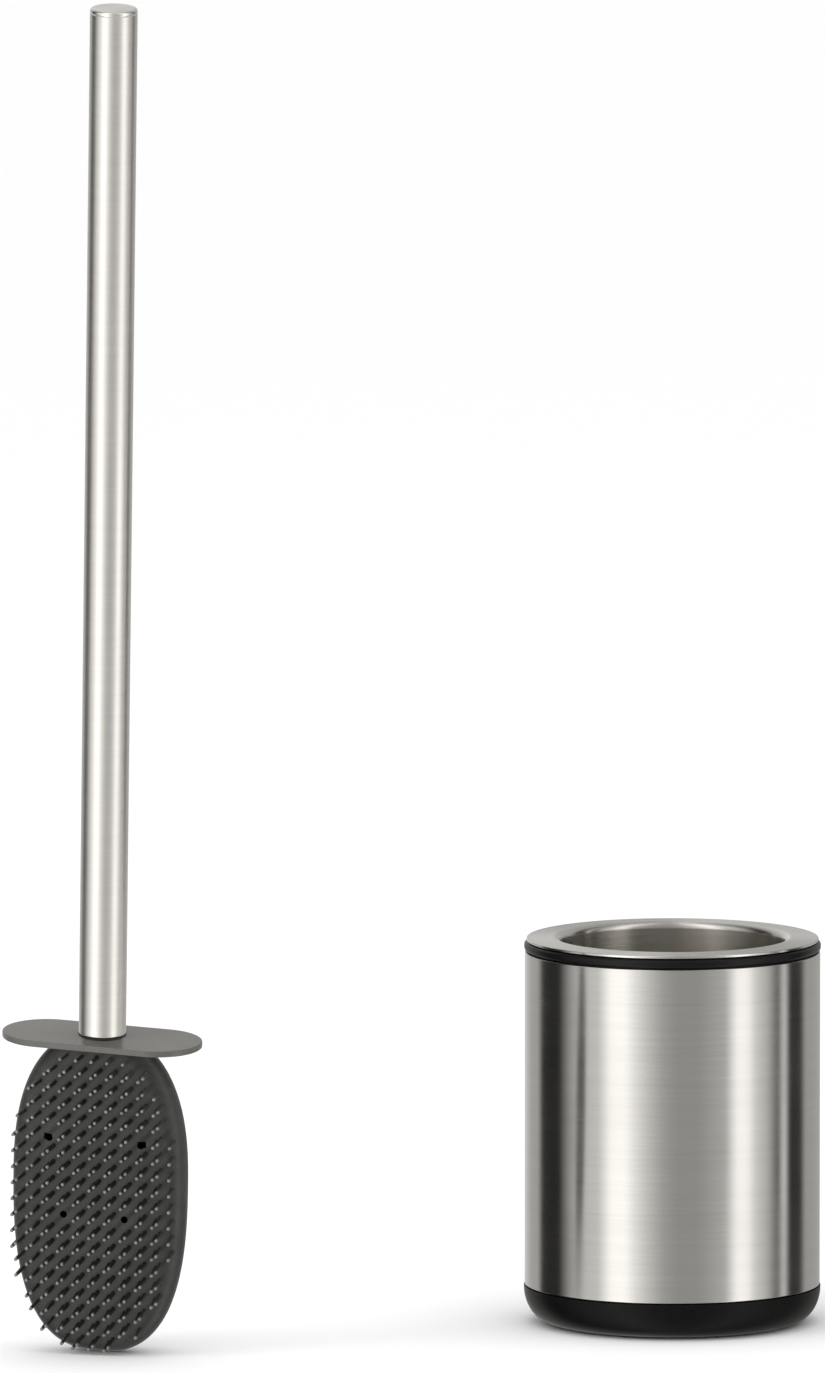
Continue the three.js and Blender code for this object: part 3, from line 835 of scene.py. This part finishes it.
def leaves_drains_open(px, pz):
    """No pin stands in a drain hole, or hangs in front of one."""
    for hole_x, hole_z in DRAIN_SPOTS:
        for share in (0.0, 0.35, 0.7, 1.0):
            x, z = px + PIN_HANGS[0] * share, pz + PIN_HANGS[1] * share
            if math.hypot(x - hole_x, z - hole_z) < DRAIN_CLEAR:
                return False
    return True


def pin_spots(side):
    spots = []
    margin = FRONT_MARGIN if side < 0 else BACK_MARGIN
    for row in PIN_ROWS:
        for column in PIN_COLUMNS:
            x, z = column * PIN_ACROSS + PIN_OFF_MIDDLE, PADDLE_WIDEST_AT + row * PIN_UP
            for dx, dz in ((0, 0), PAIR_STEP):
                px, pz = x + dx, z + dz
                on_face = inside_share(px, pz) < margin and pz < skin_high.z - NECK_CLEAR
                if on_face and leaves_drains_open(px, pz):
                    spots.append((px, pz))
    return spots


def place_pins():
    bm = bmesh.new()
    peg = pin_mesh()
    for side in (-1, 1):
        spots = pin_spots(side)
        for px, pz in spots:
            fan_up = PIN_FAN * (pz - PADDLE_WIDEST_AT) / upper_reach
            lean_out = Vector((PIN_FAN * px / half_width, side, fan_up - PIN_DROOP))
            root = Vector((px, side * face_depth(px, pz), pz))
            turn = lean_out.to_track_quat("Z", "Y").to_matrix().to_4x4()
            first = len(bm.verts)
            bm.from_mesh(peg)
            bm.verts.ensure_lookup_table()
            bmesh.ops.transform(bm, matrix=Matrix.Translation(root) @ turn, verts=bm.verts[first:])
        print(len(spots), "pins on the", "front" if side < 0 else "back")
    bpy.data.meshes.remove(peg)
    return bm


# %% Finish of the pins: painted shade on the shafts, a painted highlight on the tips
def pin_rubber():
    material, tree, surface, place = new_material("pin_rubber", brush_stand)
    pin_map = tree.nodes.new("ShaderNodeUVMap")
    pin_map.uv_map = "pin"
    split = tree.nodes.new("ShaderNodeSeparateXYZ")
    tree.links.new(pin_map.outputs["UV"], split.inputs[0])
    height = split.outputs[1]
    grain = use_group(tree, pebble, place, Grains_per_metre=1500.0)
    near_root = range_node(tree, height, 0.0, 0.35)
    # The dark shaft colour is painted shade, and the pale tip colour is a painted highlight.
    shaded_shaft = blend_colour(tree, near_root, (0.02, 0.02, 0.0195), (0.011, 0.011, 0.011))
    tip = blend_colour(tree, grain.outputs["Speck"], (0.17, 0.17, 0.165), (0.26, 0.26, 0.25))
    lit_tip_share = range_node(tree, height, 0.86, 1.0)
    tree.links.new(blend_colour(tree, lit_tip_share, shaded_shaft, tip), surface.inputs["Base Color"])
    tree.links.new(range_node(tree, height, 0.0, 1.0, 0.6, 0.42), surface.inputs["Roughness"])
    return material


bristles = finished("bristles", place_pins(), brush_stand, "brush", "head_skin", pin_rubber(),
                    takes_its_place=False)

# %% [markdown]
# The brush stands so near the holder that it would show as a dark stripe in the polished sleeve. The
# two are shown as if each had been lit alone, so the brush is hidden from reflections. It still casts
# its shadow and is seen as it is.

# %% The brush kept out of the sleeve's reflections
for piece in (head, bristles, guard, seal, tube, cap):
    piece.visible_glossy = False
print("the sleeve reflects the tent only")

# %% [markdown]
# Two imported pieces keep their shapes: the stiff core inside the head and the plug inside the tube. They
# sit so deep that hardly anything of them is ever seen, so they only need the plastic's finish.

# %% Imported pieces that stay
for node in ("head_core", "handle_insert"):
    kept = frame["nodes"][node]
    kept.data.materials.clear()
    kept.data.materials.append(core_plastic)
    print(node, "keeps its shape")

# %% [markdown]
# The stage is a wide pale floor. It is rough and has no gloss, so that it only takes soft shadows, and
# it is kept out of the steel's reflections, where it would whiten the foot of the sleeve.

# %% Floor
FLOOR_REACH = 30
FLOOR_WHITE = (0.9, 0.9, 0.9, 1)
floor_bm = bmesh.new()
bmesh.ops.create_grid(floor_bm, x_segments=1, y_segments=1, size=FLOOR_REACH)
floor_mesh = bpy.data.meshes.new("floor")
floor_bm.to_mesh(floor_mesh)
floor_bm.free()
floor = bpy.data.objects.new("floor", floor_mesh)
bpy.context.scene.collection.objects.link(floor)
floor_paint = bpy.data.materials.new("floor_paint")
floor_paint.use_nodes = True
floor_surface = floor_paint.node_tree.nodes["Principled BSDF"]
floor_surface.inputs["Base Color"].default_value = FLOOR_WHITE
floor_surface.inputs["Roughness"].default_value = 0.9
floor_surface.inputs["Specular IOR Level"].default_value = 0.0
floor.data.materials.append(floor_paint)
floor.visible_glossy = False
print("floor", 2 * FLOOR_REACH, "m across")

# %% [markdown]
# The light is a soft tent. For dull surfaces it is white, a little brighter overhead. Glossy steel,
# though, is only as handsome as what it reflects, so for reflections the tent has upright walls, as a
# studio sets white panels, cloths and dark boards round a steel pot. Each has its place on the compass
# in degrees, 0 in front and plus to the right, and its brightness. Between two neighbours the light
# blends. The turned steel shows them as upright stripes.

# %% The light tent
TENT_WALLS = [
    ("wall behind, on the left", -180, -165, 0.7),
    ("wall on the far left", -145, -131, 0.5),
    ("black board on the left", -124, -100, 0.02),
    ("grey cloth", -87, -87, 0.5),
    ("pale cloth", -74, -61, 0.8),
    ("white panel on the left", -50, -38, 1.6),
    ("soft edge of that panel", -30, -30, 1.15),
    ("grey cloth", -20, -20, 0.8),
    ("shade beside the camera", -8, -8, 0.5),
    ("wall behind the camera", 3, 20, 0.4),
    ("grey cloth", 36, 42, 0.53),
    ("white panel on the right", 52, 61, 1.5),
    ("soft edge of that panel", 68, 68, 0.95),
    ("grey cloth", 80, 80, 0.65),
    ("gap between two cloths", 91, 91, 0.06),
    ("slit of bright light", 98, 98, 1.0),
    ("black board on the right", 104, 120, 0.03),
    ("wall behind, on the right", 128, 180, 0.45)]
TENT_TINT = (1.0, 0.985, 0.955)
DULL_LIGHT = 1.02
AT_THE_HORIZON = 0.72
OVERHEAD = 1.25


def light_tent():
    world = bpy.data.worlds.new("light_tent")
    bpy.context.scene.world = world
    world.use_nodes = True
    tree = world.node_tree
    sky = tree.nodes["Background"]
    direction = tree.nodes.new("ShaderNodeTexCoord").outputs["Generated"]
    split = tree.nodes.new("ShaderNodeSeparateXYZ")
    tree.links.new(direction, split.inputs[0])
    x, y, z = split.outputs
    compass = math_node(tree, "ARCTAN2", x, math_node(tree, "MULTIPLY", y, -1.0))
    bands = tree.nodes.new("ShaderNodeValToRGB")
    tree.links.new(range_node(tree, compass, -math.pi, math.pi), bands.inputs["Fac"])
    edges = []
    for _, left, right, brightness in TENT_WALLS:
        edges += [(angle, brightness) for angle in sorted({left, right})]
    stops = bands.color_ramp.elements
    while len(stops) < len(edges):
        stops.new(0.5)
    for stop, (angle, brightness) in zip(stops, edges):
        stop.position = (angle + 180) / 360
        stop.color = (*(brightness * share for share in TENT_TINT), 1)
    dull = range_node(tree, z, 0.0, 1.0, DULL_LIGHT * AT_THE_HORIZON, DULL_LIGHT * OVERHEAD)
    ray = tree.nodes.new("ShaderNodeLightPath")
    seen = blend_colour(tree, ray.outputs["Is Glossy Ray"], dull, bands.outputs["Color"])
    tree.links.new(seen, sky.inputs["Color"])
    sky.inputs["Strength"].default_value = 1.0
    return world


light_tent()
print(len(TENT_WALLS), "walls, cloths and panels in the tent")


# %% [markdown]
# A tent alone gives hardly any shadow. A wide lamp overhead lays the soft shadow under each piece, and
# a smaller one at the upper left lights the left flank of the head and of the guard. Neither is seen in
# the steel, so its stripes come from the tent alone.

# %% Two soft panels: one overhead, one at the upper left
def soft_panel(name, place, aim, width, watts):
    """A square lamp that dull surfaces see and polished steel doesn't."""
    light = bpy.data.lights.new(name, "AREA")
    light.shape = "SQUARE"
    light.size = width
    light.energy = watts
    panel = bpy.data.objects.new(name, light)
    panel.location = place
    panel.rotation_euler = (Vector(aim) - Vector(place)).to_track_quat("-Z", "Y").to_euler()
    panel.visible_glossy = False
    bpy.context.scene.collection.objects.link(panel)
    return panel


overhead_panel = soft_panel("overhead_panel", (-0.12, -0.15, 1.3), (-0.12, 0, 0), 0.9, 2.0)
side_panel = soft_panel("side_panel", (-1.2, -0.55, 0.75), (-0.15, 0, 0.08), 0.5, 3.6)
print(overhead_panel.name, "and", side_panel.name, "lit")

# %% [markdown]
# The camera stands far back with a long lens, so the canister's sides stay parallel, and looks down a
# little, so that the mouth of the cup shows as a narrow oval.

# %% Camera
CAMERA_DISTANCE = 8.0
CAMERA_DOWN = math.radians(7.0)
aim_point = Vector((-0.0792, 0, 0.19495))
lens = bpy.data.cameras.new("camera")
lens.sensor_width = 36
lens.lens = 689.5
lens.clip_end = 100
camera = bpy.data.objects.new("camera", lens)
back_off = Vector((0, -math.cos(CAMERA_DOWN), math.sin(CAMERA_DOWN)))
camera.location = aim_point + back_off * CAMERA_DISTANCE
camera.rotation_euler = (-back_off).to_track_quat("-Z", "Y").to_euler()
bpy.context.scene.collection.objects.link(camera)
bpy.context.scene.camera = camera
bpy.context.scene.view_settings.view_transform = "Standard"
print("camera", CAMERA_DISTANCE, "m away")
